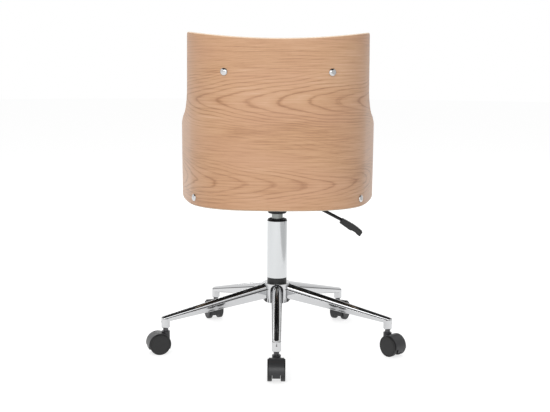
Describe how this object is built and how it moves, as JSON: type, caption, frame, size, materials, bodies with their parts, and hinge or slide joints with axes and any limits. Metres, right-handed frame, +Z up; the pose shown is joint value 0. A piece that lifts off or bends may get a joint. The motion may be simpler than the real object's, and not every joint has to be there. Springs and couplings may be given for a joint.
{
  "type": "swivel office chair",
  "caption": "Swivel office chair with a bent plywood tub shell, upholstered seat and back, gas lift with lever, and a five-armed base on twin-wheel casters.",
  "frame": {"origin": "on the floor, on the axis of the lift column", "axes": "+Z up; the sitter faces -Y; +X is at the sitter's left, so the lever is on the -X side"},
  "size_m": [0.6289, 0.6046, 0.7688],
  "materials": {
    "bright_chrome": "polished chrome plating on cast aluminium",
    "chromed_steel": "polished",
    "black_plastic": "satin",
    "wheel_nylon": "satin",
    "bare_steel": "satin",
    "black_steel": "satin",
    "satin_steel": "satin",
    "buffer_rubber": "matte",
    "piston_alloy": "satin",
    "black_cloth": "matte non-woven cloth",
    "oak_veneer": "satin lacquered oak veneer",
    "plain_plywood": "matte",
    "white_upholstery": "white leatherette over foam"
  },
  "bodies": {
    "base": {"star_base": "bright_chrome", "lift_column": "chromed_steel", "hub_collar": "black_plastic", "column_guide_bush": "black_plastic", "lower_race": "bare_steel", "thrust_balls": "bare_steel", "grip_rings": "bare_steel", "caster_stem_1": "black_steel", "caster_stem_2": "black_steel", "caster_stem_3": "black_steel", "caster_stem_4": "black_steel", "caster_stem_5": "black_steel"},
    "rod": {"piston_rod": "bare_steel", "upper_race": "bare_steel", "rod_clip": "bare_steel", "rod_buffer": "buffer_rubber", "gas_piston": "piston_alloy"},
    "seat": {"pressure_tube": "satin_steel", "rod_guide": "black_plastic", "taper_socket": "black_steel", "lever_pivot_pin": "bare_steel", "seat_plate": "black_steel", "plate_screws": "bare_steel", "plate_nuts": "bare_steel", "seat_board": "plain_plywood", "dust_cover": "black_cloth", "plywood_shell": "oak_veneer", "upper_shell_bolts": "chromed_steel", "lower_shell_bolts": "chromed_steel", "liner_nuts": "bare_steel", "barrel_nuts": "bare_steel", "back_liner": "plain_plywood", "back_cushion": "white_upholstery", "side_cushion_left": "white_upholstery", "side_cushion_right": "white_upholstery", "seat_cushion": "white_upholstery"},
    "lever": {"lever_rod": "black_steel", "lever_handle": "black_plastic"},
    "release_pin": {"release_pin": "bare_steel"},
    "caster_1": {"caster_hood_1": "black_plastic", "caster_axle_1": "bare_steel"},
    "wheel_1a": {"caster_wheel_1a": "wheel_nylon"},
    "wheel_1b": {"caster_wheel_1b": "wheel_nylon"},
    "caster_2": {"caster_hood_2": "black_plastic", "caster_axle_2": "bare_steel"},
    "wheel_2a": {"caster_wheel_2a": "wheel_nylon"},
    "wheel_2b": {"caster_wheel_2b": "wheel_nylon"},
    "caster_3": {"caster_hood_3": "black_plastic", "caster_axle_3": "bare_steel"},
    "wheel_3a": {"caster_wheel_3a": "wheel_nylon"},
    "wheel_3b": {"caster_wheel_3b": "wheel_nylon"},
    "caster_4": {"caster_hood_4": "black_plastic", "caster_axle_4": "bare_steel"},
    "wheel_4a": {"caster_wheel_4a": "wheel_nylon"},
    "wheel_4b": {"caster_wheel_4b": "wheel_nylon"},
    "caster_5": {"caster_hood_5": "black_plastic", "caster_axle_5": "bare_steel"},
    "wheel_5a": {"caster_wheel_5a": "wheel_nylon"},
    "wheel_5b": {"caster_wheel_5b": "wheel_nylon"}
  },
  "joints": [
    {"name": "seat_swivel", "type": "hinge", "parent": "base", "child": "rod", "pos_m": [0, 0, 0.115], "axis": [0, 0, 1], "continuous": true},
    {"name": "seat_height", "type": "slide", "parent": "rod", "child": "seat", "axis": [0, 0, 1], "range_m": [0, 0.09]},
    {"name": "lever_lift", "type": "hinge", "parent": "seat", "child": "lever", "pos_m": [-0.019, 0, 0.3715], "axis": [0, 1, 0], "range_deg": [0, 6], "stiffness_Nm_per_rad": 2, "springref_deg": -28.65},
    {"name": "release_pin_press", "type": "slide", "parent": "seat", "child": "release_pin", "axis": [0, 0, -1], "range_m": [0, 0.0021]},
    {"name": "caster_swivel_1", "type": "hinge", "parent": "base", "child": "caster_1", "pos_m": [0, 0.2826, 0.054], "axis": [0, 0, 1], "continuous": true},
    {"name": "wheel_spin_1a", "type": "hinge", "parent": "caster_1", "child": "wheel_1a", "pos_m": [0, 0.3006, 0.025], "axis": [-1, 0, 0], "continuous": true},
    {"name": "wheel_spin_1b", "type": "hinge", "parent": "caster_1", "child": "wheel_1b", "pos_m": [0, 0.3006, 0.025], "axis": [-1, 0, 0], "continuous": true},
    {"name": "caster_swivel_2", "type": "hinge", "parent": "base", "child": "caster_2", "pos_m": [-0.26877, 0.08733, 0.054], "axis": [0, 0, 1], "continuous": true},
    {"name": "wheel_spin_2a", "type": "hinge", "parent": "caster_2", "child": "wheel_2a", "pos_m": [-0.28081, 0.10071, 0.025], "axis": [-0.7431, -0.6691, 0], "continuous": true},
    {"name": "wheel_spin_2b", "type": "hinge", "parent": "caster_2", "child": "wheel_2b", "pos_m": [-0.28081, 0.10071, 0.025], "axis": [-0.7431, -0.6691, 0], "continuous": true},
    {"name": "caster_swivel_3", "type": "hinge", "parent": "base", "child": "caster_3", "pos_m": [-0.16611, -0.22863, 0.054], "axis": [0, 0, 1], "continuous": true},
    {"name": "wheel_spin_3a", "type": "hinge", "parent": "caster_3", "child": "wheel_3a", "pos_m": [-0.17428, -0.24467, 0.025], "axis": [0.891, -0.454, 0], "continuous": true},
    {"name": "wheel_spin_3b", "type": "hinge", "parent": "caster_3", "child": "wheel_3b", "pos_m": [-0.17428, -0.24467, 0.025], "axis": [0.891, -0.454, 0], "continuous": true},
    {"name": "caster_swivel_4", "type": "hinge", "parent": "base", "child": "caster_4", "pos_m": [0.16611, -0.22863, 0.054], "axis": [0, 0, 1], "continuous": true},
    {"name": "wheel_spin_4a", "type": "hinge", "parent": "caster_4", "child": "wheel_4a", "pos_m": [0.17343, -0.24507, 0.025], "axis": [0.9135, 0.4067, 0], "continuous": true},
    {"name": "wheel_spin_4b", "type": "hinge", "parent": "caster_4", "child": "wheel_4b", "pos_m": [0.17343, -0.24507, 0.025], "axis": [0.9135, 0.4067, 0], "continuous": true},
    {"name": "caster_swivel_5", "type": "hinge", "parent": "base", "child": "caster_5", "pos_m": [0.26877, 0.08733, 0.054], "axis": [0, 0, 1], "continuous": true},
    {"name": "wheel_spin_5a", "type": "hinge", "parent": "caster_5", "child": "wheel_5a", "pos_m": [0.28568, 0.09348, 0.025], "axis": [-0.342, 0.9397, 0], "continuous": true},
    {"name": "wheel_spin_5b", "type": "hinge", "parent": "caster_5", "child": "wheel_5b", "pos_m": [0.28568, 0.09348, 0.025], "axis": [-0.342, 0.9397, 0], "continuous": true}
  ],
  "couplings": [
    {"joint": "release_pin_press", "follows": "lever_lift", "m_per_rad": 0.019}
  ]
}
